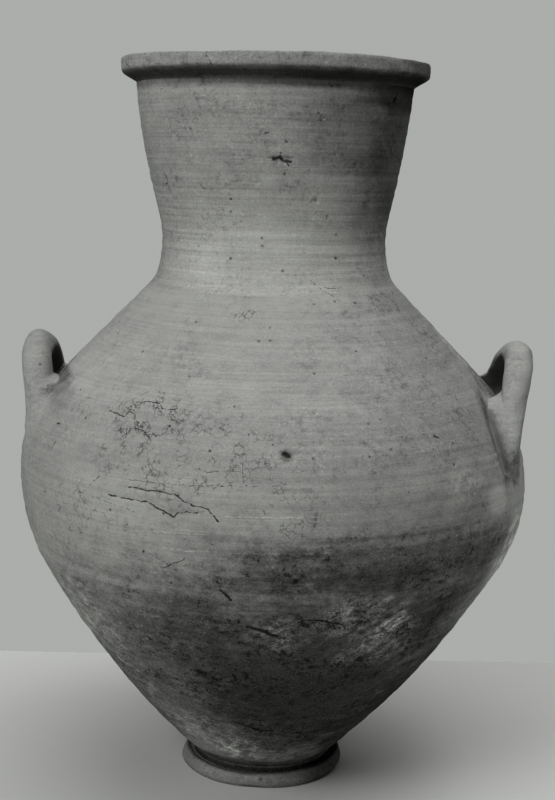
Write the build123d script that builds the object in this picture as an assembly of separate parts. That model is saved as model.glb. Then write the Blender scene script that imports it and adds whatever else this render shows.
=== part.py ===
"""Two-handled clay storage jar with a tall flaring neck, built ring upon ring as a potter builds a pithos.

Every piece of clay that the potter makes by itself is a solid of its own: the floor disc, the ring foot,
three body rings, the neck ring and the rim coil, the two loop handles with the wads that hold their roots,
and the coils pressed over the joints inside. The rings sit in each other with a ridge in a groove.

Frame: millimetres, +Z up, origin at the centre of the standing ring. The handles stand at -X and +X.
"""

import os
from math import acos, atan2, cos, radians, sin, sqrt, tan

from build123d import *

# Ring foot and floor disc
foot_radius = 81.0
foot_standing_radius = 78.5
foot_top_radius = 76.0
foot_height = 15.0
foot_bulge_height = 6.0
foot_bore_radius = 60.0
base_recess = 7.0
floor_radius = 70.0
floor_thickness = 12.0

# Body wall: outside radii, and the height of each ring above the one below it
wall = 12.0
base_radius = 70.0
belly_radius = 248.3
lower_ring_height = 201.5
lower_joint_inset = 22.3
belly_rise = 85.5
belly_ring_height = 173.5
belly_joint_inset = 35.7
shoulder_height = 93.0

# Neck ring: outside radius above its flared foot, and how far it draws in and spreads from there
neck_radius = 112.4
neck_flare_height = 16.0
neck_flare_width = 9.2
neck_bend_height = 53.0
neck_bend_step = 0.9
neck_height = 190.0
neck_spread = 19.5

# Rim coil
rim_height = 23.0
rim_overhang = 15.0
rim_underside = 8.5
rim_round = 4.5

# Ridge and groove of each ring joint
joint_ridge = 5.0

# Coils pressed over the joints inside
seam_coil_width = 46.0
seam_coil_thickness = 5.0
floor_coil_leg = 17.0

# Loop handles: a roll of clay bent to an arch with splayed legs, thicker at its roots
handle_thickness = 29.0
handle_root_thickness = 32.0
handle_span = 152.0
handle_height = 76.5
handle_bend_radius = 50.0
handle_lean = 15.5
handle_root_rise = 44.0
handle_root_sink = 12.0

# Wads of clay pressed round the handle roots
wad_length = 104.0
wad_width = 62.0
wad_thickness = 8.0

# Heights and radii that follow from the sizes above
floor_top = base_recess + floor_thickness
lower_joint_z = floor_top + lower_ring_height
belly_z = lower_joint_z + belly_rise
belly_joint_z = lower_joint_z + belly_ring_height
shoulder_top_z = belly_joint_z + shoulder_height
neck_top_z = shoulder_top_z + neck_height
rim_top_z = neck_top_z + rim_height
neck_top_radius = neck_radius + neck_spread


def turned(outline):
    """The solid that a face of radius and height makes when it is turned about the jar's axis."""
    return revolve(Plane.XZ * outline, Axis.Z, 360)


def face_of(edges):
    """The face inside a closed chain of edges."""
    return Face(Wire(edges))


def straight(*points):
    """Straight edges from point to point."""
    return [Edge.make_line(a, b) for a, b in zip(points, points[1:])]


def arc_from(start, direction, end):
    """An arc that leaves start in the given direction and ends at end."""
    return Edge.make_tangent_arc(start, direction, end)


def inside_of(point, direction, depth):
    """The point at that depth behind the wall's outer face, where the wall runs up in that direction."""
    along = direction.normalized()
    return point + Vector(-along.Y, along.X) * depth


def joint_at(point, direction):
    """A ring joint that crosses the wall: its outer point, its ridge and its inner point."""
    ridge = inside_of(point, direction, wall / 2) + direction.normalized() * joint_ridge
    return [point, ridge, inside_of(point, direction, wall)]


def ring_between(lower_line, outer_edges, upper_line):
    """One ring of wall: outer edges from foot to top, between the joint lines that neighbours share."""
    nodes = [lower_line[-1]]
    nodes += [inside_of(edge @ 1, edge % 1, wall) for edge in outer_edges[:-1]]
    nodes += [upper_line[-1]]
    inner_edges = []
    for edge, start, end in zip(outer_edges, nodes, nodes[1:]):
        if edge.geom_type == GeomType.LINE:
            inner_edges += straight(start, end)
        else:
            inner_edges.append(Edge.make_three_point_arc(start, inside_of(edge @ 0.5, edge % 0.5, wall), end))
    return face_of(outer_edges + straight(*upper_line) + inner_edges + straight(*lower_line))


# Outer face of the wall, from the floor to the rim, as arcs that run smoothly into each other
up = Vector(0, 1)
base_point = Vector(base_radius, floor_top)
lower_joint_point = Vector(belly_radius - lower_joint_inset, lower_joint_z)
belly_point = Vector(belly_radius, belly_z)
belly_joint_point = Vector(belly_radius - belly_joint_inset, belly_joint_z)
shoulder_top_point = Vector(neck_radius + neck_flare_width, shoulder_top_z)
neck_root_point = Vector(neck_radius, shoulder_top_z + neck_flare_height)
neck_bend_point = Vector(neck_radius - neck_bend_step, neck_root_point.Y + neck_bend_height)
neck_top_point = Vector(neck_top_radius, neck_top_z)

belly_down = arc_from(belly_point, up * -1, lower_joint_point)
belly_below = belly_down.reversed(reconstruct=True)
belly_above = arc_from(belly_point, up, belly_joint_point)
lower_edge = arc_from(lower_joint_point, belly_down % 1, base_point).reversed(reconstruct=True)
shoulder_edge = Edge.make_line(belly_joint_point, shoulder_top_point)
neck_flare = arc_from(shoulder_top_point, shoulder_edge % 1, neck_root_point)
neck_waist = arc_from(neck_root_point, neck_flare % 1, neck_bend_point)
neck_upper = arc_from(neck_bend_point, neck_waist % 1, neck_top_point)

# Joint lines, each shared by the two rings that meet there
lower_joint = joint_at(lower_joint_point, belly_below % 0)
belly_joint = joint_at(belly_joint_point, belly_above % 1)
neck_joint = joint_at(shoulder_top_point, shoulder_edge % 1)
rim_joint = joint_at(neck_top_point, neck_upper % 1)

# Lower ring stands flat on the floor disc, so its inner face runs on down to the floor
base_run = lower_edge % 0
base_inner = inside_of(base_point, base_run, wall)
toe = base_inner - base_run * ((base_inner.Y - floor_top) / base_run.Y)
floor_line = [base_point, toe, base_inner]

lower_ring = turned(ring_between(floor_line, [lower_edge], lower_joint))
belly_ring = turned(ring_between(lower_joint, [belly_below, belly_above], belly_joint))
shoulder_ring = turned(ring_between(belly_joint, [shoulder_edge], neck_joint))
neck_ring = turned(ring_between(neck_joint, [neck_flare, neck_waist, neck_upper], rim_joint))

# Floor disc, let into the ring foot
standing = (Align.CENTER, Align.CENTER, Align.MIN)
floor_disc = Pos(0, 0, base_recess) * Cylinder(floor_radius, floor_thickness, align=standing)

# Ring foot: a rounded band with a step on its inside that carries the floor disc
foot_outside = Edge.make_three_point_arc(
    (foot_standing_radius, 0), (foot_radius, foot_bulge_height), (foot_top_radius, foot_height)
)
foot_inside = straight(
    Vector(foot_top_radius, foot_height),
    Vector(floor_radius, foot_height),
    Vector(floor_radius, base_recess),
    Vector(foot_bore_radius, base_recess),
    Vector(foot_bore_radius, 0),
    Vector(foot_standing_radius, 0),
)
foot_ring = turned(face_of([foot_outside] + foot_inside))

# Rim coil: sits on the neck, hangs over outside, flat on top
lip_radius = neck_top_radius + rim_overhang
mouth_radius = rim_joint[-1].X
lip_corners = [
    Vector(lip_radius, neck_top_z + rim_underside),
    Vector(lip_radius, rim_top_z),
    Vector(mouth_radius, rim_top_z),
]
lip_face = face_of(straight(rim_joint[0], *lip_corners, *reversed(rim_joint)))
lip_vertices = [v for v in lip_face.vertices() if any((Vector(v) - c).length < 0.01 for c in lip_corners)]
rim_coil = turned(lip_face.fillet_2d(rim_round, lip_vertices))


def seam_coil(joint, direction, rings):
    """A flat coil pressed on the inside of a joint, shaped by the rings behind it."""
    along = direction.normalized()
    oval = Ellipse(seam_coil_width / 2, seam_coil_thickness)
    strip = Location(Plane(origin=joint[-1], x_dir=along, z_dir=(0, 0, 1))) * oval
    return (turned(strip) - rings).solid()


lower_seam_coil = seam_coil(lower_joint, belly_below % 0, [lower_ring, belly_ring])
belly_seam_coil = seam_coil(belly_joint, belly_above % 1, [belly_ring, shoulder_ring])

# Coil in the corner between floor and wall, hollowed by the potter's finger
coil_top = toe + base_run * floor_coil_leg
coil_end = toe - Vector(floor_coil_leg, 0)
coil_hollow = (coil_top + coil_end) * 0.5 + (toe - (coil_top + coil_end) * 0.5) * 0.2
coil_back = toe + Vector(wall / 2, 0)
coil_edges = [Edge.make_three_point_arc(coil_end, coil_hollow, coil_top)]
coil_edges += straight(coil_top, coil_top + Vector(wall / 2, 0), coil_back, coil_end)
floor_seam_coil = (turned(face_of(coil_edges)) - lower_ring).solid()

# Filled outside of the jar, used to shape what is pressed on to it
jar_edges = [lower_edge, belly_below, belly_above, shoulder_edge]
axis_edges = straight(shoulder_top_point, Vector(0, shoulder_top_z), Vector(0, floor_top), base_point)
jar_body = turned(face_of(jar_edges + axis_edges))

# Loop handle: its arch stands in a plane that leans outwards, and its roots sink into the wall
belly_above_radius = belly_above.radius
half_span = handle_span / 2


def wall_radius_above_belly(rise):
    """Outer radius of the wall at a height above its widest point."""
    return belly_radius - belly_above_radius + sqrt(belly_above_radius**2 - rise**2)


root_x = sqrt(wall_radius_above_belly(handle_root_rise) ** 2 - half_span**2) - handle_root_sink
root_z = belly_z + handle_root_rise
lean = radians(handle_lean)
arch_plane = Plane(origin=(root_x, 0, root_z), x_dir=(0, 1, 0), z_dir=(cos(lean), 0, -sin(lean)))
bend_rise = handle_height - handle_bend_radius
leg_splay = acos(handle_bend_radius / sqrt(half_span**2 + bend_rise**2)) - atan2(bend_rise, half_span)
legs_meet = half_span / tan(leg_splay)
arch = arch_plane * FilletPolyline((-half_span, 0), (0, legs_meet), (half_span, 0), radius=handle_bend_radius)
arch_sections = [
    (arch ^ 0) * Circle(handle_root_thickness / 2),
    (arch ^ 0.5) * Circle(handle_thickness / 2),
    (arch ^ 1) * Circle(handle_root_thickness / 2),
]
right_handle = (sweep(arch_sections, arch, multisection=True) - jar_body).solid()

# Part of the arch outside the wall: it ends where the two legs leave the wall
free_arch = Wire((arch - jar_body).edges())


def root_wad(foot):
    """A flat wad on the wall round the foot of a leg of the right handle, where the leg leaves the wall."""
    outwards = Vector(foot.X, foot.Y, 0).normalized()
    slope = (foot.Z - belly_z) / belly_above_radius
    wall_normal = outwards * sqrt(1 - slope**2) + Vector(0, 0, slope)
    pad = Plane(origin=foot, x_dir=(-outwards.Y, outwards.X, 0), z_dir=wall_normal)
    lump = pad * scale(Sphere(1), by=(wad_width / 2, wad_length / 2, wad_thickness))
    return (lump - jar_body - right_handle).solid()


right_front_wad = root_wad(free_arch @ 0)
right_rear_wad = root_wad(free_arch @ 1)

pieces = {
    "floor_disc": floor_disc,
    "foot_ring": foot_ring,
    "lower_ring": lower_ring,
    "belly_ring": belly_ring,
    "shoulder_ring": shoulder_ring,
    "neck_ring": neck_ring,
    "rim_coil": rim_coil,
    "floor_seam_coil": floor_seam_coil,
    "lower_seam_coil": lower_seam_coil,
    "belly_seam_coil": belly_seam_coil,
    "right_handle": right_handle,
    "right_front_wad": right_front_wad,
    "right_rear_wad": right_rear_wad,
    "left_handle": mirror(right_handle, Plane.YZ),
    "left_front_wad": mirror(right_front_wad, Plane.YZ),
    "left_rear_wad": mirror(right_rear_wad, Plane.YZ),
}

os.makedirs("parts", exist_ok=True)
for name, shape in pieces.items():
    export_step(shape, f"parts/{name}.step")
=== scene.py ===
"""Looks of a two-handled clay storage jar: thrown rings, worn rim and foot, rolled handles."""

from math import ceil, cos, pi, radians, sin

import bpy
import numpy as np
from mathutils import Matrix, Vector


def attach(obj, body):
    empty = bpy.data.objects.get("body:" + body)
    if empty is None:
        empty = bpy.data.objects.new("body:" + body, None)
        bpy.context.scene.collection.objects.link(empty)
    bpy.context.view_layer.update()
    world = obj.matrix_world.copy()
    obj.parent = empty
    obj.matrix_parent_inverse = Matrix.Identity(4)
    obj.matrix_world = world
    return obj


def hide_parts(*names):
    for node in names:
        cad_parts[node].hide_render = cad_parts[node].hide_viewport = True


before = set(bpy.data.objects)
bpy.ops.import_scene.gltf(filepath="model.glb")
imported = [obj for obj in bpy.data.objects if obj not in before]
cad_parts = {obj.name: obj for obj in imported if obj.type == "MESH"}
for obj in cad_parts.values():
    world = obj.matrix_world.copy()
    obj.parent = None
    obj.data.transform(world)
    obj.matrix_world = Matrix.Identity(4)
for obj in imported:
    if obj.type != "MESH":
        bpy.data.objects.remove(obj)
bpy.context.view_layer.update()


# ---------------------------------------------------------------- ring foot
# A thick rope of coarse clay laid under the floor and turned on the wheel to a low rounded band.
# Standing on stone has worn its lower edge and knocked small flakes off it.


def round_the_jar(columns):
    """Angles round the axis, 0 at the front and growing to the right, closest together at the front."""
    share = np.linspace(-1, 1, columns, endpoint=False)
    return pi * share - 0.4 * np.sin(pi * share)


def ring_drift(height):
    """Sideways drift in mm of the rings' centres at a height, as the potter set them by eye."""
    return np.polyval(np.polyfit([0, 150, 420, 600, 700], [0.5, 4.0, 2.7, -1.0, -0.9], 4), height)


def clay_piece(name, points, faces, material):
    """An object from points in mm, smooth but for its sharp edges."""
    mesh = bpy.data.meshes.new(name)
    mesh.from_pydata((np.asarray(points) * 0.001).tolist(), [], [list(face) for face in faces])
    mesh.shade_smooth()
    mesh.set_sharp_from_angle(angle=radians(42))
    mesh.materials.append(material)
    piece = bpy.data.objects.new(name, mesh)
    bpy.context.scene.collection.objects.link(piece)
    return piece


def turned_piece(name, radius, height, angle, material):
    """A ring of clay from rows of radius and height, up its outside and down its inside."""
    x = radius * np.sin(angle) + ring_drift(height)
    y = -radius * np.cos(angle)
    points = np.stack([x, y, height], -1).reshape(-1, 3)
    corner = np.arange(radius.size).reshape(radius.shape)
    right = np.roll(corner, -1, 1)
    faces = np.stack([corner, right, np.roll(right, -1, 0), np.roll(corner, -1, 0)], -1).reshape(-1, 4)
    return clay_piece(name, points, faces, material)


def outline_normals(outline):
    """Directions out of the clay along a closed outline that runs up the outside and down the inside."""
    along = np.roll(outline, -1, 0) - np.roll(outline, 1, 0)
    normal = np.stack([along[:, 1], -along[:, 0]], 1)
    return normal / np.linalg.norm(normal, axis=1, keepdims=True)


def even_steps(corners, step):
    """Points a step apart along straight runs between corners."""
    runs = []
    for a, b in zip(corners, corners[1:]):
        a, b = np.array(a, float), np.array(b, float)
        count = max(1, ceil(np.hypot(*(b - a)) / step))
        runs.append(a + (b - a) * np.linspace(0, 1, count, endpoint=False)[:, None])
    return np.concatenate(runs + [np.array([corners[-1]], float)])


def hand_waves(seed, count, turns, tall, deep):
    """Random waves of an uneven surface: turns round the jar, height of a wave, shift and depth in mm."""
    dice = np.random.default_rng(seed)
    return [
        (
            dice.integers(*turns),
            dice.uniform(*tall) * dice.choice([-1, 1]),
            dice.uniform(0, 2 * pi),
            deep * dice.uniform(0.4, 1),
        )
        for _ in range(count)
    ]


def wave_relief(waves, angle, height):
    """Relief in mm of a set of waves."""
    return sum(deep * np.cos(turns * angle + 2 * pi * height / tall + shift) for turns, tall, shift, deep in waves)


def flaked(angle, height, radius, chips):
    """Relief in mm of broken places, each given as angle in degrees, height, half width, half height and depth."""
    relief = np.zeros(np.broadcast(angle, height).shape)
    for number, (at, z, wide, tall, deep) in enumerate(chips):
        across = (angle - radians(at)) * radius / wide
        up = (height - z) / tall
        turn = np.arctan2(up, across)
        ragged = 0.22 * np.sin(3 * turn + number) + 0.16 * np.sin(5 * turn + 2.3 * number) + 0.1 * np.sin(9 * turn)
        depth = np.clip(1.15 - np.hypot(across, up) + ragged, 0, 1)
        relief -= deep * np.sqrt(depth) * (depth > 0)
    return relief


def fired_clay(
    name,
    albedo,
    girth,
    stains_and_shade=(),
    rubbed=(),
    cracks=(),
    scratches=(),
    shaded_lines=(),
    crazed=(),
    streaks=1.0,
    grime=1.0,
    caked=4.2,
    frayed=1.0,
    loop_shade=0.0,
):
    """Grey fired clay with mottling, level wheel streaks and grit, and the marks of age that are asked for.

    Girth is the piece's radius in mm. Stained, rubbed and crazed patches: angle in degrees, height, half width in
    degrees, half height in mm and strength. A stain darkens the clay, and the same patches also paint shade; a
    stain below 0 makes the clay paler, as wiped clay and as painted light. Crazed ones end with the size of a cell
    in mm. Cracks, scratches and lines of painted shade along grooves: width in mm, then points of angle and height.
    Grime is how strongly the surface is speckled, caked how much more so in a stain or painted shade, frayed how
    broken the edges of the patches are, and loop shade how dark the painted shade is on the faces inside a handle's
    loop.
    """
    material = bpy.data.materials.new(name)
    material.use_nodes = True
    tree = material.node_tree
    tree.nodes.clear()

    def node(kind, settings, inputs):
        made = tree.nodes.new(kind)
        for key, value in settings.items():
            setattr(made, key, value)
        for key, value in inputs.items():
            if isinstance(value, bpy.types.NodeSocket):
                tree.links.new(value, made.inputs[key])
            else:
                made.inputs[key].default_value = value
        return made

    def sum_of(operation, *values):
        return node("ShaderNodeMath", {"operation": operation}, dict(enumerate(values))).outputs[0]

    def vector(operation, *values):
        made = node("ShaderNodeVectorMath", {"operation": operation}, dict(enumerate(values)))
        return made.outputs["Value" if operation in ("DOT_PRODUCT", "DISTANCE") else "Vector"]

    def scaled(value, size):
        return node("ShaderNodeVectorMath", {"operation": "SCALE"}, {0: value, "Scale": size}).outputs["Vector"]

    def ramp(value, low, high):
        ends = {"Value": value, "From Min": low, "From Max": high}
        return node("ShaderNodeMapRange", {"interpolation_type": "SMOOTHSTEP"}, ends).outputs[0]

    def stretched(vector, sizes, turn=0.0):
        return node("ShaderNodeMapping", {}, {"Vector": vector, "Scale": sizes, "Rotation": (0, 0, turn)}).outputs[0]

    def noise(vector, scale, detail, roughness=0.55, output="Fac"):
        made = node(
            "ShaderNodeTexNoise", {}, {"Vector": vector, "Scale": scale, "Detail": detail, "Roughness": roughness}
        )
        return made.outputs[output]

    def around_zero(value, strength):
        return sum_of("MULTIPLY_ADD", value, strength, -0.5 * strength)

    def specks(vector, scale, size, share):
        cells = node("ShaderNodeTexVoronoi", {}, {"Vector": vector, "Scale": scale})
        lot = node("ShaderNodeSeparateColor", {}, {"Color": cells.outputs["Color"]}).outputs["Red"]
        dot = ramp(cells.outputs["Distance"], size, 0.35 * size)
        return sum_of("MULTIPLY", dot, ramp(lot, 1 - share, 1.03 - share))

    coordinates = node("ShaderNodeTexCoord", {}, {}).outputs
    place = coordinates["Object"]
    parts = node("ShaderNodeSeparateXYZ", {}, {"Vector": place}).outputs
    height = sum_of("MULTIPLY", parts["Z"], 1000.0)
    toward = sum_of("MULTIPLY", parts["Y"], -1.0)
    angle = sum_of("MULTIPLY", sum_of("ARCTAN2", parts["X"], toward), 180 / pi)
    unrolled = node("ShaderNodeCombineXYZ", {}, {0: sum_of("MULTIPLY", angle, girth * pi / 180), 1: height}).outputs[0]

    # Mottling of the fired surface, streaks left by the wheel, sand, grit and pinholes
    cloud = noise(place, 9.0, 6.0, 0.6)
    blotch = noise(place, 42.0, 5.0, 0.65)
    sand = noise(place, 520.0, 3.0, 0.7)
    broad_streak = noise(stretched(place, (4, 4, 130)), 1.0, 3.0, 0.6)
    fine_streak = noise(stretched(place, (9, 9, 430)), 1.0, 4.0, 0.65)
    pale_grit = ramp(noise(place, 300.0, 2.0, 0.6), 0.62, 0.72)
    pinhole = specks(place, 330.0, 0.24, 0.4)
    pock = specks(place, 105.0, 0.2, 0.13)
    dash = specks(stretched(place, (75, 75, 390)), 1.0, 0.26, 0.2)
    dirt = ramp(noise(place, 170.0, 5.0, 0.7), 0.48, 0.64)
    dirt = sum_of("MULTIPLY", dirt, ramp(noise(place, 24.0, 4.0, 0.6), 0.42, 0.62))
    scabs = noise(stretched(place, (90, 90, 150)), 1.0, 5.0, 0.65)

    def patch(at, z, wide, tall):
        across = sum_of("DIVIDE", sum_of("WRAP", sum_of("SUBTRACT", angle, at), 180.0, -180.0), wide)
        up = sum_of("DIVIDE", sum_of("SUBTRACT", height, z), tall)
        away = sum_of("SQRT", sum_of("ADD", sum_of("MULTIPLY", across, across), sum_of("MULTIPLY", up, up)))
        return ramp(sum_of("ADD", away, ragged), 1.25, 0.55)

    # Stains and painted shade darken the clay, and it is more speckled where they lie
    ragged = 0.0
    for uneven, strength in ((cloud, 0.9), (blotch, 0.7), (scabs, 0.5), (broad_streak, 0.6)):
        ragged = sum_of("ADD", ragged, around_zero(uneven, strength * frayed))
    clean_and_lit = 1.0
    for at, z, wide, tall, strength in stains_and_shade:
        clean_and_lit = sum_of("MULTIPLY", clean_and_lit, sum_of("MULTIPLY_ADD", patch(at, z, wide, tall), -strength, 1.0))
    fine = sum_of("ADD", around_zero(sand, 0.62), around_zero(scabs, 0.3))
    for mark, strength in ((pale_grit, 0.2), (pinhole, -0.26), (dash, -0.22), (dirt, -0.24)):
        fine = sum_of("MULTIPLY_ADD", mark, strength, fine)
    speckle_gain = sum_of("MAXIMUM", sum_of("MULTIPLY_ADD", clean_and_lit, -caked, 1 + caked), 0.55)
    fine = sum_of("MULTIPLY", fine, sum_of("MULTIPLY", speckle_gain, grime))

    shade = sum_of("MULTIPLY_ADD", pock, -0.6, fine)
    mottling = ((cloud, 0.38), (blotch, 0.42), (broad_streak, 0.2 * streaks), (fine_streak, 0.5 * streaks))
    for uneven, strength in mottling:
        shade = sum_of("ADD", shade, around_zero(uneven, strength))
    tone = sum_of("MULTIPLY", sum_of("MAXIMUM", sum_of("ADD", shade, 1.0), 0.12), albedo)
    tone = sum_of("MULTIPLY", tone, clean_and_lit)

    if rubbed:
        powder = ramp(noise(place, 95.0, 6.0, 0.7), 0.42, 0.64)
        slanting = stretched(unrolled, (1, 1, 1), radians(-38))
        wiped = ramp(noise(stretched(slanting, (0.014, 0.11, 1)), 1.0, 5.0, 0.65), 0.42, 0.7)
        powder = sum_of("MULTIPLY_ADD", wiped, 0.45, sum_of("MULTIPLY", powder, 0.65))
    for at, z, wide, tall, strength in rubbed:
        lime = sum_of("MULTIPLY", patch(at, z, wide, tall), powder)
        tone = sum_of("MULTIPLY", tone, sum_of("MULTIPLY_ADD", lime, strength, 1.0))

    # Hairlines: the crazed skin, and cracks and scratches drawn from point to point with a trembling hand
    shaking = vector("SUBTRACT", noise(place, 150.0, 3.0, 0.6, "Color"), (0.5, 0.5, 0.5))
    trembling = vector("ADD", unrolled, scaled(shaking, 4.0))
    thin = sum_of("MULTIPLY_ADD", noise(place, 210.0, 2.0), 1.6, 0.2)

    def nearest_line(lines):
        nearest = 9.0
        for width, *points in lines:
            spots = [Vector((radians(at) * girth, z, 0)) for at, z in points]
            for a, b in zip(spots, spots[1:] or spots):
                off, run = vector("SUBTRACT", trembling, a), b - a
                along = sum_of("MAXIMUM", vector("DOT_PRODUCT", off, run / max(run.length_squared, 1e-6)), 0.0)
                away = vector("DISTANCE", off, scaled(run, sum_of("MINIMUM", along, 1.0)))
                nearest = sum_of("MINIMUM", nearest, sum_of("DIVIDE", away, width))
        return sum_of("MULTIPLY", nearest, thin)

    if crazed:
        wandering = vector("ADD", place, scaled(noise(place, 120.0, 3.0, 0.6, "Color"), 0.012))
        broken = ramp(noise(place, 75.0, 3.0), 0.46, 0.55)
    for at, z, wide, tall, strength, cell in crazed:
        cell_grid = {"Vector": wandering, "Scale": 1000 / cell}
        cells = node("ShaderNodeTexVoronoi", {"feature": "DISTANCE_TO_EDGE"}, cell_grid)
        line = sum_of("MULTIPLY", ramp(cells.outputs["Distance"], 0.5 / cell, 0.12 / cell), broken)
        line = sum_of("MULTIPLY", line, patch(at, z, wide, tall))
        tone = sum_of("MULTIPLY", tone, sum_of("MULTIPLY_ADD", line, -strength, 1.0))
    # Lines of painted shade along grooves
    if shaded_lines:
        line = ramp(nearest_line(shaded_lines), 1.0, 0.0)
        tone = sum_of("MULTIPLY", tone, sum_of("MULTIPLY_ADD", line, -0.58, 1.0))
    if scratches:
        line = ramp(nearest_line(scratches), 0.65, 0.25)
        tone = sum_of("MULTIPLY", tone, sum_of("MULTIPLY_ADD", line, 0.6, 1.0))
    if cracks:
        line = ramp(nearest_line(cracks), 0.65, 0.25)
        tone = sum_of("MULTIPLY", tone, sum_of("MULTIPLY_ADD", line, -0.88, 1.0))
    # Painted shade on the faces inside a handle's loop that turn towards its middle, fading out below the loop
    if loop_shade:
        loop_middle, shade_none_below, shade_full_above = 0.378, 362, 390
        in_loop = {1: toward, 2: sum_of("SUBTRACT", loop_middle, parts["Z"])}
        in_loop = node("ShaderNodeCombineXYZ", {}, in_loop).outputs[0]
        facing = vector("DOT_PRODUCT", coordinates["Normal"], vector("NORMALIZE", in_loop))
        inward = ramp(sum_of("ADD", facing, around_zero(blotch, 0.5)), -0.3, 0.25)
        inward = sum_of("MULTIPLY", inward, ramp(height, shade_none_below, shade_full_above))
        tone = sum_of("MULTIPLY", tone, sum_of("MULTIPLY_ADD", inward, -loop_shade, 1.0))

    colour = scaled((0.985, 1.0, 0.955), tone)
    relief = sum_of("ADD", around_zero(sand, 0.6), around_zero(fine_streak, 0.6 * streaks))
    relief = sum_of("MULTIPLY_ADD", pinhole, -0.5, relief)
    relief = sum_of("MULTIPLY_ADD", pock, -0.9, relief)
    bump = node("ShaderNodeBump", {}, {"Height": relief, "Strength": 0.6, "Distance": 0.0009}).outputs[0]
    dull = sum_of("MULTIPLY_ADD", blotch, 0.25, 0.62)
    surface = node(
        "ShaderNodeBsdfPrincipled",
        {},
        {"Base Color": colour, "Roughness": dull, "Normal": bump, "Specular IOR Level": 0.1},
    )
    output = node("ShaderNodeOutputMaterial", {}, {})
    tree.links.new(surface.outputs[0], output.inputs["Surface"])
    return material


all_round = 500  # half width in degrees of a patch that runs right round the jar
foot_radius = 80
foot_angle = round_the_jar(420)
foot_outside = even_steps(
    [(78.5, 0), (79.9, 1.6), (80.9, 4), (81, 6), (80.4, 9), (79, 12), (77.4, 14.2), (76, 15)],
    1.0,
)
foot_inside = even_steps(
    [(76, 15), (74.6, 14.4), (72, 12.6), (70, 12.4), (70, 7), (60, 7), (60, 0), (78.5, 0)],
    3.0,
)[1:-1]
foot_outline = np.concatenate([foot_outside, foot_inside])
foot_height = foot_outline[:, 1:]
foot_waves = hand_waves(3, 12, (2, 9), (12, 40), 0.28)
foot_chips = [
    (-6, 0, 8, 2.4, 1.2),
    (31, 1, 5, 2.5, 1.0),
    (-42, 3, 4, 3, 0.8),
    (140, 1, 10, 4, 1.8),
    (-120, 3, 6, 4, 1.4),
]
foot_relief = wave_relief(foot_waves, foot_angle, foot_height)
foot_relief = foot_relief + flaked(foot_angle, foot_height, foot_radius, foot_chips)
foot_relief[len(foot_outside) :] = 0
foot_push = foot_relief[..., None] * outline_normals(foot_outline)[:, None]
foot_rows = foot_outline[:, None] + foot_push
foot = turned_piece(
    "worn_ring_foot",
    foot_rows[..., 0],
    np.maximum(foot_rows[..., 1], 0.0),
    foot_angle,
    fired_clay(
        "foot_clay_fired",
        0.25,
        foot_radius,
        # Painted shade in the groove along the foot's top and down its right side, and a faint darker patch at the
        # front
        stains_and_shade=[(0, 17, all_round, 3.6, 0.8), (66, 7, 44, 30, 0.5), (16, 7, 9, 30, 0.15)],
        rubbed=[(-14, 8, 40, 5, 0.5)],
        grime=1.6,
        caked=0.6,
        frayed=0.5,
    ),
)
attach(foot, "root")
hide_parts("foot_ring")


# ---------------------------------------------------------------- floor disc
# A flat pad of clay beaten out on the wheel head, let into the step of the ring foot.
# Its upper face keeps the spiral groove of the potter's finger.

floor_angle = round_the_jar(240)
floor_underside = even_steps([(1.5, 7), (70, 7), (70, 19)], 4.0)
floor_face = even_steps([(70, 19), (1.5, 19)], 1.2)
floor_outline = np.concatenate([floor_underside, floor_face[1:]])
spiral = 0.5 * np.cos(floor_outline[:, :1] * 2 * pi / 9 + floor_angle)
inner_floor = (floor_outline[:, 1:] > 18.9) & (floor_outline[:, :1] < 55)
floor_disc = turned_piece(
    "beaten_floor_disc",
    np.repeat(floor_outline[:, :1], len(floor_angle), 1),
    floor_outline[:, 1:] + np.where(inner_floor, spiral - 0.5, 0),
    floor_angle,
    # Painted shade over the disc's edge, where it lies in the groove above the foot, reaching onto its upper face
    fired_clay("floor_clay_fired", 0.26, 60, stains_and_shade=[(0, 12, all_round, 8, 0.86)], frayed=0.3),
)
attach(floor_disc, "root")
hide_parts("floor_disc")


# ---------------------------------------------------------------- lower ring
# First wall of the body, thrown as an open bowl of gritty clay and stood on the floor disc.
# It is stained dark by the soil it stood in, and painted shade darkens it further low down and on its right.
# Pale lime crusts and scratches lie at the right.


def arc_run(start, heading, end, step):
    """Points and headings a step apart on the arc that leaves start with a heading and reaches end."""
    start, heading, end = (np.array(v, float) for v in (start, heading, end))
    heading = heading / np.hypot(*heading)
    chord = end - start
    turn = 2 * np.arctan2(heading[0] * chord[1] - heading[1] * chord[0], heading @ chord)
    length = np.hypot(*chord) / np.sinc(turn / 2 / pi)
    share = np.linspace(0, 1, ceil(length / step) + 1)

    def turned(angle):
        c, s = np.cos(angle), np.sin(angle)
        return np.stack([c * heading[0] - s * heading[1], s * heading[0] + c * heading[1]], 1)

    reach = length * share * np.sinc(turn * share / 2 / pi)
    return start + reach[:, None] * turned(turn * share / 2), turned(turn * share)


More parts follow.
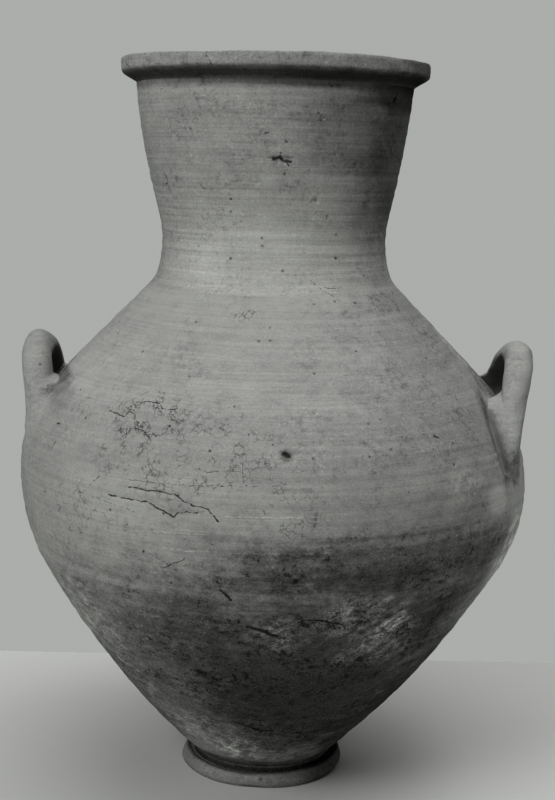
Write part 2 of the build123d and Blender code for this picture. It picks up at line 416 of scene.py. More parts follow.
def thrown_ring(name, outer, heading, foot_joint, top_joint, columns, outside, inside, material):
    """A wall ring from its outer run: the inner face lies a wall behind it, the joints close it below and above."""
    normal = np.stack([heading[:, 1], -heading[:, 0]], 1)
    back = np.unique(np.append(np.arange(0, len(outer), 4), len(outer) - 1))[::-1]
    inner = outer[back] - wall * normal[back]
    outline = np.concatenate([outer, top_joint, inner, foot_joint])
    angle = round_the_jar(columns)
    push = np.zeros((len(outline), columns))
    push[: len(outer)] = outside(angle, outer[:, 1:], outer[:, :1])
    first = len(outer) + len(top_joint)
    fade = np.clip(np.minimum(np.arange(len(inner)), np.arange(len(inner))[::-1]) / 3, 0, 1)[:, None]
    push[first : first + len(inner)] = inside(angle, inner[:, 1:]) * fade
    directions = np.zeros_like(outline)
    directions[: len(outer)] = normal
    directions[first : first + len(inner)] = -normal[back]
    rows = outline[:, None] + push[..., None] * directions[:, None]
    return turned_piece(name, rows[..., 0], rows[..., 1], angle, material)


def ridge_of(point, heading):
    """Top of the ridge where two rings sit in each other, in the middle of the wall."""
    heading = np.array(heading) / np.hypot(*heading)
    return np.array(point) + wall / 2 * np.array([-heading[1], heading[0]]) + joint_ridge * heading


def thrown_outside(angle, height, radius):
    """Relief in mm that hands and wheel leave outside: slow swells and fine level ridges that climb a little."""
    climb = 0.9 * np.sin(angle + 0.7) + 0.5 * np.sin(2 * angle + 2.1)
    smoothed = np.min([np.abs(height - joint) for joint in joint_heights], axis=0)
    ridges = wave_relief(wheel_ridges, 0 * angle, height + climb) * np.clip(smoothed / 9, 0, 1) ** 2
    return wave_relief(body_swells, angle, height) + ridges


def finger_grooves(angle, height):
    """Relief in mm of the grooves that the fingers leave inside."""
    return 0.9 * np.cos(2 * pi * height / 17 + angle) + 0.3 * np.cos(2 * pi * height / 41 - 2 * angle)


def pin_holes(seed, count, angle, height, radius, low, high):
    """Relief in mm of small holes left where grit has dropped out."""
    dice = np.random.default_rng(seed)
    relief = np.zeros(np.broadcast(angle, height).shape)
    for _ in range(count):
        at, z, size = dice.uniform(-pi, pi), dice.uniform(low, high), dice.uniform(0.6, 1.4)
        near = np.abs(height[:, 0] - z) < 6
        across = (angle - at) * radius[near]
        relief[near] -= 0.45 * size * np.exp(-(across**2 + (height[near] - z) ** 2) / size**2)
    return relief


wall, joint_ridge = 12.0, 5.0
joint_heights = (220.5, 394, 487, 677)
base, lower_joint, belly_edge = (70, 19), (226, 220.5), (248.3, 306)
body_swells = hand_waves(11, 9, (1, 5), (110, 420), 0.42)
wheel_ridges = hand_waves(12, 26, (0, 1), (5, 34), 0.075)

belly_down, belly_down_heading = arc_run(belly_edge, (0, -1), lower_joint, 1.7)
lower_run, lower_heading = arc_run(lower_joint, belly_down_heading[-1], base, 2.1)
lower_run, lower_heading = lower_run[::-1], -lower_heading[::-1]
lower_inner_foot = np.array(base) + wall * np.array([-lower_heading[0][1], lower_heading[0][0]])
lower_toe = lower_inner_foot - lower_heading[0] * (lower_inner_foot[1] - base[1]) / lower_heading[0][1]
lower_gashes = [(-0.5, 208, 11, 2.2, 1.3), (12.5, 219, 12, 1.5, 0.8), (-4, 84, 20, 1.6, 0.9)]
# Dark staining by soil over the lower body, deepened with painted shade low down and on the lower right, where shade
# falls. Entries below 0 are paler patches.
soil_stains_and_shade = [
    (16, 148, 44, 108, 0.66),
    (10, 150, 78, 142, 0.54),
    (14, 118, 34, 54, 0.28),
    (32, 268, 36, 28, 0.55),
    (2, 284, 10, 10, 0.25),
    (20, 274, 6, 10, -0.25),
    (-14, 262, 11, 22, -0.25),
    (-3, 236, 8, 14, -0.3),
    (-20, 178, 12, 34, 0.2),
    (-45, 150, 30, 70, 0.12),
    (41, 216, 7, 36, 0.4),
    (52, 236, 10, 26, 0.4),
    (-66, 90, 22, 62, 0.54),
    (66, 125, 20, 60, 0.62),
    (54, 62, 34, 50, 0.78),
    (64, 84, 26, 70, 0.5),
    (66, 246, 9, 30, -0.5),
    (6, 232, 16, 13, -0.28),
    (150, 120, 60, 140, 0.5),
    (-130, 110, 50, 120, 0.45),
]
lime_smears = [
    (23, 217, 12, 25, 4.6),
    (33, 188, 8, 26, 4.4),
    (20, 178, 6, 14, 2.4),
    (3, 200, 8, 22, 4.0),
    (44, 152, 7, 16, 1.4),
    (69, 248, 8, 42, 1.6),
    (-52, 150, 14, 85, 1.2),
    (-24, 66, 24, 34, 1.3),
    (-4, 45, 24, 18, 1.3),
    (170, 200, 30, 40, 1.0),
]
lower_cracks = [
    (3.0, (-9, 248), (-7, 239.5)),
    (3.2, (-3.8, 212), (-0.4, 208), (2.8, 202.6)),
    (2.2, (8, 221), (12.7, 219), (17.4, 213.5)),
    (2.2, (-11, 92), (-6.3, 86), (-1, 81), (4.8, 81)),
    (2.2, (-19.7, 250.7)),
    (1.0, (-14, 236), (-14.5, 228)),
    (0.9, (-24, 276), (-20, 268), (-17.7, 262)),
    (0.9, (-16, 275), (-21, 264)),
]
lower_scratches = [
    (1.5, (18.7, 167), (26, 190)),
    (1.2, (12.2, 185.6), (17.4, 213)),
    (1.2, (27, 180), (33, 200)),
    (0.9, (-25, 120), (-20, 150)),
]


def lower_outside(angle, height, radius):
    """Relief outside the lower ring."""
    relief = thrown_outside(angle, height, radius) + pin_holes(21, 90, angle, height, radius, 25, 220)
    return relief + flaked(angle, height, radius, lower_gashes)


lower_ring = thrown_ring(
    "lower_wall_ring",
    lower_run,
    lower_heading,
    [lower_toe],
    [ridge_of(lower_joint, lower_heading[-1])],
    520,
    lower_outside,
    finger_grooves,
    fired_clay(
        "lower_clay_stained",
        0.33,
        170,
        # The band at the wall's foot is painted shade over the groove above the ring foot
        stains_and_shade=soil_stains_and_shade + [(0, 22, all_round, 8, 0.6)],
        rubbed=lime_smears,
        cracks=lower_cracks,
        scratches=lower_scratches,
        grime=1.4,
        caked=3.0,
        frayed=0.75,
    ),
)
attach(lower_ring, "root")
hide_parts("lower_ring")


# ---------------------------------------------------------------- belly ring
# Widest wall of the jar, a thrown ring set ridge in groove on the lower one.
# Its left front is cracked and crazed, and each handle is pressed on to its upper half.

belly_joint = (212.6, 394)
belly_up, belly_up_heading = arc_run(belly_edge, (0, 1), belly_joint, 1.7)
belly_run = np.concatenate([belly_down[::-1], belly_up[1:]])
belly_heading = np.concatenate([-belly_down_heading[::-1], belly_up_heading[1:]])
belly_marks = [(3.6, 365, 7, 5, 2.2), (-22, 268, 3, 3, 1.0), (41, 350, 3, 3, 0.8), (-8, 243.5, 4, 5, 1.5)]
belly_cracks = [
    (1.4, (-28.9, 331), (-21.8, 330.3), (-18, 329.5), (-16.2, 323.6), (-11.4, 319.4), (-9.3, 310)),
    (1.3, (-33.6, 321.5), (-27.9, 320.6), (-24, 320), (-22, 317), (-18.4, 311), (-17.4, 315), (-13.5, 316)),
]
skin_cracks = [
    (0.9, (-33.8, 397), (-30.2, 398.5), (-27.4, 398.6), (-25.7, 394.6), (-22, 395)),
    (0.8, (-23.4, 393.7), (-20.8, 386)),
    (
        *(1.0, (-40.3, 388), (-37, 386.4), (-34.8, 384.2), (-34.2, 389.2)),
        *((-32.5, 387.5), (-30.7, 378), (-28.1, 376), (-26.1, 371)),
    ),
    (0.7, (-36, 392), (-33, 391), (-31.5, 384), (-29.5, 380)),
    (0.6, (-29, 336.7), (-26, 337.4), (-21, 337.2), (-11.3, 339), (3.8, 342)),
    (0.6, (-38, 317), (-31, 314), (-27, 311)),
    (0.9, (-53.5, 354.6), (-55.2, 345.4)),
    (0.8, (-36.5, 335), (-38.9, 326.5)),
    (0.7, (-14, 352), (-12, 350), (-10, 350.5)),
    (0.6, (-5, 366), (-5, 352), (-4.6, 343)),
]
dark_dots = [
    (1.7, (-22.1, 421)),
    (1.6, (-22.4, 382.6)),
    (1.8, (-9.9, 382.8)),
    (1.2, (-9, 387.4)),
    (1.5, (-4.4, 380.7)),
    (1.2, (0.8, 373.7)),
    (1.6, (-61.2, 355.4)),
    (1.5, (-56.4, 367.6), (-55, 368)),
    (1.2, (4.4, 415.4)),
    (1.3, (-28.5, 298.6)),
    (1.5, (-10.4, 289.8)),
    (2.6, (-25.3, 276.4)),
    (4.6, (3.3, 366.2), (4.1, 364.6)),
    (1.6, (38.8, 375), (39.8, 373)),
    (1.3, (21.6, 350)),
    (1.3, (28.9, 333)),
]
pale_lines = [
    (0.8, (-8, 314.5), (9.7, 316)),
    (0.7, (-23.3, 296.4), (-11.8, 298)),
    (0.8, (-21, 282.5), (12.5, 284.6)),
    (0.7, (-6, 279), (16, 280.5)),
]
skin_crazing = [
    (-30, 386, 11, 21, 0.75, 7.0),
    (-16, 360, 24, 42, 0.55, 8.0),
    (-42, 300, 14, 30, 0.5, 8.0),
    (4, 318, 9, 26, 0.5, 9.0),
]
thumb_channels = [
    (
        *(3.2, 8.0, (80, 402), (75, 395), (68.5, 388), (64.5, 380)),
        *((62.4, 370), (61, 360), (60.8, 348), (61, 336), (61.6, 325)),
    ),
    (1.8, 5.0, (75, 372), (71.5, 352), (66.8, 331)),
]
channel_girth, crack_girth = 235, 240
# Painted shade along the thumbed channels beside the right handle's root
root_groove_shade = [(16, *thumb_channels[0][4:]), (9, (74, 340), (67.6, 328), (64.8, 320))]
# Painted shadow on the wall under each handle's loop, and painted shade in the crotch of the left handle
painted_root_shade = [
    (90, 398, 13, 24, 0.5),
    (-90, 398, 13, 24, 0.5),
    (-76, 401, 9, 8, 0.6),
    (-69, 395, 7, 13, 0.36),
    (-61, 388, 6, 14, 0.14),
]
# Painted shade over the right side of the belly and shoulder, away from the light
right_side_shade = (66, 420, 44, 90, 0.2)
# Paler and darker patches on the belly, with the painted shade of the right side among them
belly_stains_and_shade = [
    (55.5, 311, 4.5, 17, -0.5),
    (46, 310, 6, 16, 0.15),
    (72, 300, 14, 40, -0.3),
    (-18, 316, 36, 34, -0.14),
    (24, 298, 10, 12, 0.22),
    right_side_shade,
    (3.7, 365, 1.7, 5.5, 0.45),
]


def away_from_line(angle, height, girth, points):
    """Distance in mm along the wall to a line drawn through points of angle and height."""
    spots = np.array([(radians(at) * girth, z) for at, z in points])
    here = np.stack(np.broadcast_arrays(angle * girth, height), -1)
    nearest = np.full(here.shape[:-1], 1000.0)
    for a, b in zip(spots, spots[1:]):
        share = np.clip((here - a) @ (b - a) / ((b - a) @ (b - a)), 0, 1)
        nearest = np.minimum(nearest, np.linalg.norm(here - a - share[..., None] * (b - a), axis=-1))
    return nearest


def wall_relief(angle, height, radius):
    """Relief in mm of the wall near the handles: the thrown surface and the channels thumbed beside the right root."""
    relief = thrown_outside(angle, height, radius)
    for deep, wide, *points in thumb_channels:
        relief = relief - deep * np.exp(-((away_from_line(angle, height, channel_girth, points) / wide) ** 2))
    return relief


def belly_outside(angle, height, radius):
    """Relief outside the belly ring."""
    relief = wall_relief(angle, height, radius) + pin_holes(22, 90, angle, height, radius, 222, 392)
    for width, *points in belly_cracks:
        away = away_from_line(angle, height, crack_girth, points)
        relief = relief - 0.9 * np.clip(1 - away / (width + 0.3), 0, 1)
    return relief + flaked(angle, height, radius, belly_marks)


belly_ring = thrown_ring(
    "belly_wall_ring",
    belly_run,
    belly_heading,
    [ridge_of(lower_joint, belly_heading[0])],
    [ridge_of(belly_joint, belly_heading[-1])],
    640,
    belly_outside,
    finger_grooves,
    fired_clay(
        "belly_clay_crazed",
        0.335,
        crack_girth,
        stains_and_shade=soil_stains_and_shade + painted_root_shade + belly_stains_and_shade,
        rubbed=lime_smears + [(44, 333, 6, 20, 0.5)],
        cracks=belly_cracks + skin_cracks + dark_dots + lower_cracks[:1] + lower_cracks[-4:],
        scratches=pale_lines,
        shaded_lines=root_groove_shade,
        crazed=skin_crazing,
        grime=1.15,
        caked=3.0,
        frayed=0.75,
    ),
)
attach(belly_ring, "root")
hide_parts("belly_ring")


# ---------------------------------------------------------------- shoulder ring
# Sloping cone of clay that closes the body in towards the neck, thrown in one with even wheel lines.
# It faces the light and is the palest part of the jar.

shoulder_top = (121.6, 487)
shoulder_heading_line = np.subtract(shoulder_top, belly_joint)
shoulder_run, shoulder_heading = arc_run(belly_joint, shoulder_heading_line, shoulder_top, 1.7)
neck_root_crack = (0.7, (16.6, 503), (21, 495.4), (28.7, 484))


def shoulder_outside(angle, height, radius):
    """Relief outside the shoulder ring."""
    return wall_relief(angle, height, radius) + pin_holes(23, 60, angle, height, radius, 396, 485)


shoulder_ring = thrown_ring(
    "shoulder_wall_ring",
    shoulder_run,
    shoulder_heading,
    [ridge_of(belly_joint, belly_up_heading[-1])],
    [ridge_of(shoulder_top, shoulder_heading[-1])],
    640,
    shoulder_outside,
    finger_grooves,
    fired_clay(
        "shoulder_clay_pale",
        0.37,
        170,
        # Painted shadow under the loops, painted shade down the right side, faint painted light on the top by the
        # neck, and a painted highlight as a pale streak down the right edge
        stains_and_shade=painted_root_shade + [(-16, 488, 80, 24, -0.08), right_side_shade],
        rubbed=[(84, 428, 6, 32, 0.8)],
        cracks=skin_cracks[:2] + dark_dots[:1] + dark_dots[8:9] + [neck_root_crack],
        shaded_lines=root_groove_shade[:1],
        crazed=skin_crazing[:2] + [(51, 480, 12, 12, 0.6, 6.0), (-9, 470, 8, 5, 0.6, 5.0)],
        grime=0.9,
    ),
)
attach(shoulder_ring, "root")
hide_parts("shoulder_ring")


# ---------------------------------------------------------------- neck ring
# Tall neck thrown as a spreading cylinder and set on the shoulder, its foot smoothed out over the joint.
# A flake has broken from the middle of its front, and grit has left small pits.

neck_root, neck_bend, neck_top = (112.4, 503), (111.5, 556), (131.9, 677)
flare_run, flare_heading = arc_run(shoulder_top, shoulder_heading[-1], neck_root, 1.6)
waist_run, waist_heading = arc_run(neck_root, flare_heading[-1], neck_bend, 1.6)
upper_run, upper_heading = arc_run(neck_bend, waist_heading[-1], neck_top, 1.6)
neck_run = np.concatenate([flare_run, waist_run[1:], upper_run[1:]])
neck_heading = np.concatenate([flare_heading, waist_heading[1:], upper_heading[1:]])
neck_marks = [
    (2.8, 608, 8, 3.2, 2.8),
    (19.5, 645, 2.6, 2.2, 1.4),
    (-3.1, 630.6, 2.6, 1.6, 1.2),
    (56, 666, 2, 5, 1.4),
    (18.9, 573, 3, 2.6, 1.6),
    (-7, 587, 3, 2, 1.0),
    (-33.8, 583, 2.4, 2.6, 1.2),
    (-57, 587, 2, 4, 1.0),
]
neck_cracks = [
    (3.4, (-0.8, 608.5), (1.5, 610), (3.6, 607.4), (6.4, 606.6)),
    (1.6, (1.5, 610), (2.2, 614)),
    (1.5, (4.4, 607), (5.8, 603)),
    (1.8, (19.5, 645)),
    (1.6, (-4, 630.3), (-2.4, 631)),
    (1.8, (58, 669.6), (55.6, 662.2)),
    (2.0, (18.9, 573)),
    (1.3, (-57.4, 590.6), (-56.3, 586), (-58.7, 583)),
    (1.0, (-34.5, 584), (-33, 581), (-31, 579.5)),
    (1.4, (-52, 668)),
    neck_root_crack,
    (0.9, (24, 495), (33, 494)),
]


def neck_outside(angle, height, radius):
    """Relief outside the neck ring."""
    relief = thrown_outside(angle, height, radius) + pin_holes(24, 110, angle, height, radius, 490, 675)
    return relief + flaked(angle, height, radius, neck_marks)


neck_ring = thrown_ring(
    "flaring_neck_ring",
    neck_run,
    neck_heading,
    [ridge_of(shoulder_top, shoulder_heading[-1])],
    [ridge_of(neck_top, neck_heading[-1])],
    560,
    neck_outside,
    finger_grooves,
    fired_clay(
        "neck_clay_streaked",
        0.36,
        120,
        # Painted light on the neck's upturned foot, painted shade down its right side, and a painted shadow under the
        # lip all round, heaviest at the right; also a faint darker patch at the left
        stains_and_shade=[
            (-4, 514, 60, 36, -0.36),
            (4, 556, 40, 22, -0.16),
            (-45, 612, 40, 48, 0.12),
            (80, 616, 44, 92, 0.66),
            (38, 630, 34, 38, 0.32),
            (54, 566, 20, 40, 0.14),
            (66, 667, 32, 17, 0.66),
            (20, 678, 75, 6, 0.5),
            (5, 678, all_round, 8, 0.42),
        ],
        cracks=neck_cracks,
        streaks=1.5,
        grime=1.35,
        caked=0.6,
        frayed=0.45,
    ),
)
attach(neck_ring, "root")
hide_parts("neck_ring")


# ---------------------------------------------------------------- rim coil
# A fat coil laid round the neck's top and turned to a flat-topped lip that hangs over outside.
# Its edges are rubbed round, with flakes lost at the sides.

rim_radius = 146
rim_angle = round_the_jar(640)
rim_joint_ridge = ridge_of(neck_top, neck_heading[-1])
rim_joint_inner = np.array(neck_top) + wall * np.array([-neck_heading[-1][1], neck_heading[-1][0]])
rim_outside = even_steps(
    [
        *(neck_top, (133.6, 679.2), (136.4, 681), (140.4, 683.2), (144.2, 685.4)),
        *((145.7, 686.5), (146.6, 687.8), (146.9, 689.4), (146.9, 697.4), (146.3, 699.2)),
        *((144.6, 700), (126, 700), (122.4, 698.9), (120.2, 695.8)),
    ],
    1.2,
)
rim_inside = even_steps([(120, 694), rim_joint_inner], 2.0)
rim_outline = np.concatenate([rim_outside, rim_inside, [rim_joint_ridge]])
rim_waves = hand_waves(31, 16, (3, 24), (14, 60), 0.09)
rim_chips = [
    (-88, 690, 5, 5, 2.0),
    (-80, 699, 5, 3, 1.4),
    (82, 687, 11, 5, 3.2),
    (-24, 697, 1.6, 5, 1.2),
    (40, 684, 6, 3, 1.0),
    (150, 696, 9, 5, 2.4),
    (-140, 690, 6, 4, 2.0),
]
rim_relief = wave_relief(rim_waves, rim_angle, rim_outline[:, 1:])
rim_relief = rim_relief + wave_relief(body_swells, rim_angle, rim_outline[:, 1:])
rim_relief = rim_relief + flaked(rim_angle, rim_outline[:, 1:], rim_radius, rim_chips)
rim_row = np.arange(len(rim_outline))
rim_fade = np.clip(rim_row / 4, 0, 1) * (rim_row < len(rim_outside))
rim_push = (rim_relief * rim_fade[:, None])[..., None] * outline_normals(rim_outline)[:, None]
rim_rows = rim_outline[:, None] + rim_push
rim_coil = turned_piece(
    "overhanging_rim_coil",
    rim_rows[..., 0],
    rim_rows[..., 1],
    rim_angle,
    fired_clay(
        "rim_clay_rubbed",
        0.29,
        rim_radius,
        # A dark patch at the lip's right end, and painted shade over the lip's underside, heavier on the right half
        stains_and_shade=[
            (72, 692, 22, 12, 0.6),
            (0, 680, all_round, 6, 0.7),
            (0, 683, all_round, 5.5, 0.58),
            (60, 681, 60, 6, 0.5),
        ],
        cracks=[(1.0, (-25, 695), (-23, 687)), (1.2, (-70, 692), (-66, 688))],
        grime=2.0,
        caked=0.5,
        frayed=0.5,
    ),
)
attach(rim_coil, "root")
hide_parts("rim_coil")


# ---------------------------------------------------------------- seam coils
# Thin coils of soft clay thumbed over the joints inside, so that the rings hold and the jar doesn't leak.
# Each keeps a row of thumb hollows.

inner_clay = fired_clay("inner_clay_plain", 0.27, 200)


def thumbed_coil(name, node, joint, heading):
    """A flat coil over a joint, its back in the wall and its face pressed with a thumb."""
    angle = round_the_jar(360)
    along = np.array(heading) / np.hypot(*heading)
    out = np.array([along[1], -along[0]])
    centre = np.array(joint) - wall * out
    turn = np.linspace(0, 2 * pi, 28, endpoint=False)
    bulge = np.where(np.sin(turn) > 0, 4.6, 1.0) * np.sin(turn)
    outline = centre + 21.5 * np.cos(turn)[:, None] * along - bulge[:, None] * out
    thumb = 0.8 * np.cos(26 * angle) * np.clip(np.sin(turn), 0, 1)[:, None] ** 2
    rows = outline[:, None] - thumb[..., None] * out
    coil = turned_piece(name, rows[..., 0], rows[..., 1], angle, inner_clay)
    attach(coil, "root")
    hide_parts(node)


thumbed_coil("thumbed_lower_seam", "lower_seam_coil", lower_joint, lower_heading[-1])
thumbed_coil("thumbed_belly_seam", "belly_seam_coil", belly_joint, belly_heading[-1])

corner_angle = round_the_jar(300)
corner_top = lower_toe + 17 * lower_heading[0]
corner_end = lower_toe - np.array([17.0, 0])
corner_middle = (corner_top + corner_end) / 2
corner_hollow = corner_middle + 0.2 * (lower_toe - corner_middle)
corner_share = np.linspace(0, 1, 12)[:, None]
corner_curve = (1 - corner_share) ** 2 * corner_top + corner_share**2 * corner_end
corner_curve = corner_curve + 2 * corner_share * (1 - corner_share) * (2 * corner_hollow - corner_middle)
corner_back = even_steps([corner_end + (0.1, 0), lower_toe + (3, 0), corner_top + (3, 0)], 4.0)
corner_outline = np.concatenate([corner_back, corner_curve[:-1]])
corner_pressed = np.arange(len(corner_outline)) > len(corner_outline) - 9
corner_thumb = 0.5 * np.cos(18 * corner_angle) * corner_pressed[:, None]
corner_coil = turned_piece(
    "thumbed_floor_seam",
    corner_outline[:, :1] + corner_thumb,
    np.repeat(corner_outline[:, 1:], len(corner_angle), 1),
    corner_angle,
    inner_clay,
)
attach(corner_coil, "root")
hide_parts("floor_seam_coil")


# ---------------------------------------------------------------- loop handles
# Rolls of clay as thick as a thumb and a finger, bent to an arch that leans out from the shoulder.
# The right roll ends in a pointed tongue drawn down the wall, the left one is smoothed away.

handle_clay = fired_clay(
    "handle_clay_smoothed",
    0.335,
    230,
    # Painted shade at the right tongue's tip, in the left handle's crotch, and along the groove by the right leg's
    # inner edge
    stains_and_shade=[(66.5, 333, 5, 14, 0.35), (-71.5, 391, 3, 7, 0.5), (-71, 403, 5, 8, 0.7)],
    shaded_lines=[(10, (67.4, 384), (66, 379), (64, 370), (62.6, 360), (62.2, 348), (62, 336))],
    streaks=0.8,
    loop_shade=0.9,
)
arch_foot, arch_length, lean_cosine = 350, 76.5, 0.9636


def wall_radius(height):
    """Outer radius of the jar between its lower joint and its neck."""
    run = np.concatenate([belly_run, shoulder_run[1:]])
    return np.interp(height, run[:, 1], run[:, 0])


def above_wall(points):
    """Distance in mm of points from the wall's outer face, less than 0 inside the clay."""
    x, y, z = points[..., 0] - ring_drift(points[..., 2]), points[..., 1], points[..., 2]
    radius = wall_radius(z)
    slope = wall_radius(z + 0.5) - wall_radius(z - 0.5)
    return (np.hypot(x, y) - radius - wall_relief(np.arctan2(x, -y), z, radius)) / np.hypot(1, slope)


def pushed_out(points, distance):
    """Points moved level, away from the jar's axis."""
    across = points[..., :2] - np.stack([ring_drift(points[..., 2]), 0 * points[..., 2]], -1)
    across = across / np.linalg.norm(across, axis=-1, keepdims=True)
    return np.concatenate([points[..., :2] + distance[..., None] * across, points[..., 2:]], -1)


def handle_spine(side, root, top, half_span, bend, curl, tail_angle, tail_height, tail_depth):
    """Points in mm along the middle of a roll: front tail, splayed leg, bend, leg and rear tail."""
    rise = arch_length - bend
    splay = np.arccos(bend / np.hypot(half_span, rise)) - np.arctan2(rise, half_span)
    turn = np.linspace(splay - pi, -splay, 31)
    leg = np.linspace(0, 1, 20, endpoint=False)
    y = np.concatenate([-half_span + leg * (half_span - bend * cos(splay)), bend * np.cos(turn)])
    up = np.concatenate([leg * (rise + bend * sin(splay)), rise - bend * np.sin(turn)])
    y, up = np.append(y, -y[19::-1]), np.append(up, up[19::-1])
    x = root + (top - root) * (up / arch_length) ** curl
    arch = np.stack([x, y, arch_foot + lean_cosine * up], 1)
    share = np.linspace(0, 1, 14, endpoint=False)
    z = tail_height + (arch_foot - tail_height) * share
    at = radians(tail_angle) + (np.arctan2(root, half_span) - radians(tail_angle)) * share
    lift = tail_depth + np.hypot(root, half_span) - wall_radius(arch_foot)
    reach = wall_radius(z) - tail_depth + lift * share
    front = np.stack([reach * np.sin(at), -reach * np.cos(at), z], 1)
    spine = np.concatenate([front, arch, front[::-1] * [1, -1, 1]])
    for _ in range(5):
        spine[1:-1] = 0.25 * spine[:-2] + 0.5 * spine[1:-1] + 0.25 * spine[2:]
    return spine * [side, 1, 1]


def roll_shape(spine, thickness, seed):
    """Radius of a hand-rolled bar along its spine, then its directions and uneven radius all round."""
    heading = np.gradient(spine, axis=0)
    heading /= np.linalg.norm(heading, axis=1)[:, None]
    across = np.cross(heading, [1.0, 0, 0])
    across /= np.linalg.norm(across, axis=1)[:, None]
    outward = np.cross(across, heading)
    run = np.concatenate([[0], np.cumsum(np.linalg.norm(np.diff(spine, axis=0), axis=1))])
    radius = np.interp(np.minimum(run, run[-1] - run), *zip(*thickness))
    turn = np.linspace(0, 2 * pi, 56, endpoint=False)
    uneven = wave_relief(hand_waves(seed, 14, (1, 6), (22, 120), 0.16), turn, run[:, None])
    ring = np.cos(turn)[None, :, None] * across[:, None] + np.sin(turn)[None, :, None] * outward[:, None]
    return radius, ring, radius[:, None] + uneven


def bar_of_clay(name, points, flip=False):
    """A closed bar from rings of points along it."""
    rows, columns = points.shape[:2]
    corner = np.arange(rows * columns).reshape(rows, columns)
    right = np.roll(corner, -1, 1)
    faces = np.stack([corner[:-1], corner[1:], right[1:], right[:-1]], -1).reshape(-1, 4).tolist()
    faces += [corner[0].tolist(), corner[-1][::-1].tolist()]
    faces = [face[::-1] for face in faces] if flip else faces
    return clay_piece(name, points.reshape(-1, 3), faces, handle_clay)


right_spine = handle_spine(1, 223, 243.5, 90, 56, 1.25, 64.4, 321, 2.0)
left_spine = handle_spine(-1, 214, 227.5, 62, 40, 1.0, 72, 332, 18.0)
right_thickness = [(0, 3), (14, 8.5), (34, 12.5), (60, 13), (95, 12.6), (125, 13.8), (160, 14.3)]
left_thickness = [(0, 8), (22, 14.5), (60, 14.6), (140, 14.4)]
right_shape = roll_shape(right_spine, right_thickness, 41)
left_shape = roll_shape(left_spine, left_thickness, 42)
for name, node, spine, (radius, ring, size) in (
    ("right_rolled_loop", "right_handle", right_spine, right_shape),
    ("left_rolled_loop", "left_handle", left_spine, left_shape),
):
    skin = spine[:, None] + size[..., None] * ring
    loop = bar_of_clay(name, pushed_out(skin, np.maximum(0, -1.5 - above_wall(skin))))
    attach(loop, "root")
    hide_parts(node)


# ---------------------------------------------------------------- root wads
# Soft clay pressed round each handle root and smeared over the wall, so that no step is left.
# The wads feather out to nothing on the wall and up the roll.


def smeared_root(name, node, spine, shape, rear, blends, spread, rubs):
    """A wad that fills the corner between a roll and the wall.

    Blends are its fillet in mm at the tail, foot and crotch, spread is how much wider it is away from the loop, and
    rubs is how often it is evened out.
    """
    radius, ring, size = shape
    if rear:
        spine, radius, ring, size = spine[::-1], radius[::-1], ring[::-1], size[::-1]
    rows = len(spine) // 2
    away = np.clip(ring[:rows, :, 1] if rear else -ring[:rows, :, 1], 0, 1)
    blend = np.interp(np.arange(rows), [0, 14, 30], blends)[:, None] * (1 + spread * away)
    gap = np.zeros((rows, ring.shape[1]))
    field_before = np.full_like(gap, -1.0)
    inside = np.ones(gap.shape, bool)
    step = 0.5
    for rise in np.arange(0.0, 26.0, step):
        probe = spine[:rows, None] + (radius[:rows, None, None] + rise) * ring[:rows]
        roll = np.min(np.linalg.norm(probe[..., None, :] - spine, axis=-1) - radius, axis=-1)
        face = above_wall(probe)
        near = np.clip(blend - np.abs(roll - face), 0, None)
        field = np.minimum(roll, face) - near**2 / (4 * blend)
        share = np.clip(-field_before / np.maximum(field - field_before, 1e-6), 0, 1)
        gap = np.where(inside, rise - step + step * np.where(field > 0, share, 1.0), gap)
        inside &= field <= 0
        field_before = field
    gap = np.maximum(gap, 0)
    for _ in range(rubs):
        gap[1:-1] = 0.25 * gap[:-2] + 0.5 * gap[1:-1] + 0.25 * gap[2:]
        gap = 0.25 * np.roll(gap, 1, 1) + 0.5 * gap + 0.25 * np.roll(gap, -1, 1)
    tuck = 0.4 * np.clip(1 - gap / 1.2, 0, 1)
    skin = spine[:rows, None] + (size[:rows] + gap - tuck)[..., None] * ring[:rows]
    skin = pushed_out(skin, np.maximum(0, -1.0 - above_wall(skin)))
    skin = pushed_out(skin, -0.6 * np.clip(1 - above_wall(skin) / 0.9, 0, 1))
    wad = bar_of_clay(name, skin, flip=rear)
    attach(wad, "root")
    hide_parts(node)


smeared_root("right_front_smear", "right_front_wad", right_spine, right_shape, False, (3, 6, 12), 0.2, 3)
smeared_root("right_rear_smear", "right_rear_wad", right_spine, right_shape, True, (5, 9, 14), 0.8, 3)
smeared_root("left_front_smear", "left_front_wad", left_spine, left_shape, False, (6, 8, 5), 2.2, 1)
smeared_root("left_rear_smear", "left_rear_wad", left_spine, left_shape, True, (6, 8, 5), 1.5, 1)


# ---------------------------------------------------------------- stand, light and camera
# A pale slab to stand on, a broad soft window light from the upper left, and light from above.
# The camera stands level with the neck and looks slightly down.

slab_points = [(x, y, z) for x in (-2600, 2600) for y in (-2600, 300) for z in (-30, 0)]
slab_faces = [(0, 1, 3, 2), (4, 6, 7, 5), (0, 4, 5, 1), (2, 3, 7, 6), (1, 5, 7, 3), (0, 2, 6, 4)]
slab_paint = bpy.data.materials.new("pale_slab")
slab_paint.use_nodes = True
slab_shader = slab_paint.node_tree.nodes["Principled BSDF"]
slab_shader.inputs["Roughness"].default_value = 0.9
slab_shader.inputs["Base Color"].default_value = (0.65, 0.66, 0.64, 1)
slab = clay_piece("pale_slab", slab_points, slab_faces, slab_paint)


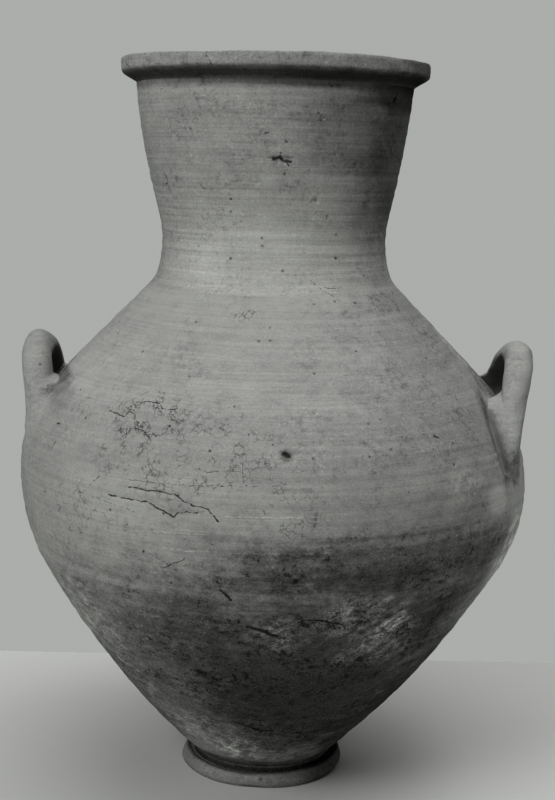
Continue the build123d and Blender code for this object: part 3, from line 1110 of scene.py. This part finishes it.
def soft_light(name, place, aim, size, power):
    """A square area light."""
    lamp = bpy.data.lights.new(name, "AREA")
    lamp.size, lamp.energy = size, power
    light = bpy.data.objects.new(name, lamp)
    light.location = place
    light.rotation_euler = (Vector(aim) - Vector(place)).to_track_quat("-Z", "Y").to_euler()
    bpy.context.scene.collection.objects.link(light)


soft_light("window", (-1.6, -1.9, 2.1), (0, 0, 0.4), 1.4, 44)
soft_light("sky", (0, 0.1, 3.0), (0, 0, 0), 2.6, 26)
soft_light("front_sky", (0, -1.2, 3.0), (0, 0, 0), 2.0, 14)
soft_light("right_sky", (1.3, 0.2, 2.7), (0.1, 0, 0.2), 1.5, 17)
soft_light("right_rear_sky", (1.2, 1.6, 2.2), (0.4, -0.1, 0), 1.5, 7)
soft_light("rear_sky", (0, 2.0, 2.2), (0, 0, 0.3), 1.5, 5)

world = bpy.data.worlds.new("studio")
bpy.context.scene.world = world
world.use_nodes = True
links, nodes = world.node_tree.links, world.node_tree.nodes
seen = nodes["Background"]
seen.inputs["Color"].default_value = (0.405, 0.42, 0.405, 1)
felt = nodes.new("ShaderNodeBackground")
felt.inputs["Color"].default_value = (0.015, 0.015, 0.015, 1)
ray = nodes.new("ShaderNodeLightPath")
mixed = nodes.new("ShaderNodeMixShader")
links.new(ray.outputs["Is Camera Ray"], mixed.inputs[0])
links.new(felt.outputs[0], mixed.inputs[1])
links.new(seen.outputs[0], mixed.inputs[2])
links.new(mixed.outputs[0], nodes["World Output"].inputs["Surface"])
bpy.context.scene.view_settings.view_transform = "Standard"

camera_data = bpy.data.cameras.new("camera")
focal_length_px, picture_height_px, film_mm = 1421, 800, 36
camera_data.lens, camera_data.sensor_width = focal_length_px / picture_height_px * film_mm, film_mm
camera = bpy.data.objects.new("camera", camera_data)
bpy.context.scene.collection.objects.link(camera)
down, aside, roll = radians(9.38), radians(0.33), radians(1.43)
forward = Vector((cos(down) * sin(aside), cos(down) * cos(aside), -sin(down)))
level = Vector((cos(aside), -sin(aside), 0))
upright = level.cross(forward)
right = cos(roll) * level + sin(roll) * upright
top = cos(roll) * upright - sin(roll) * level
camera.matrix_world = Matrix.Translation((0, -1.391, 0.603)) @ Matrix((right, top, -forward)).transposed().to_4x4()
bpy.context.scene.camera = camera
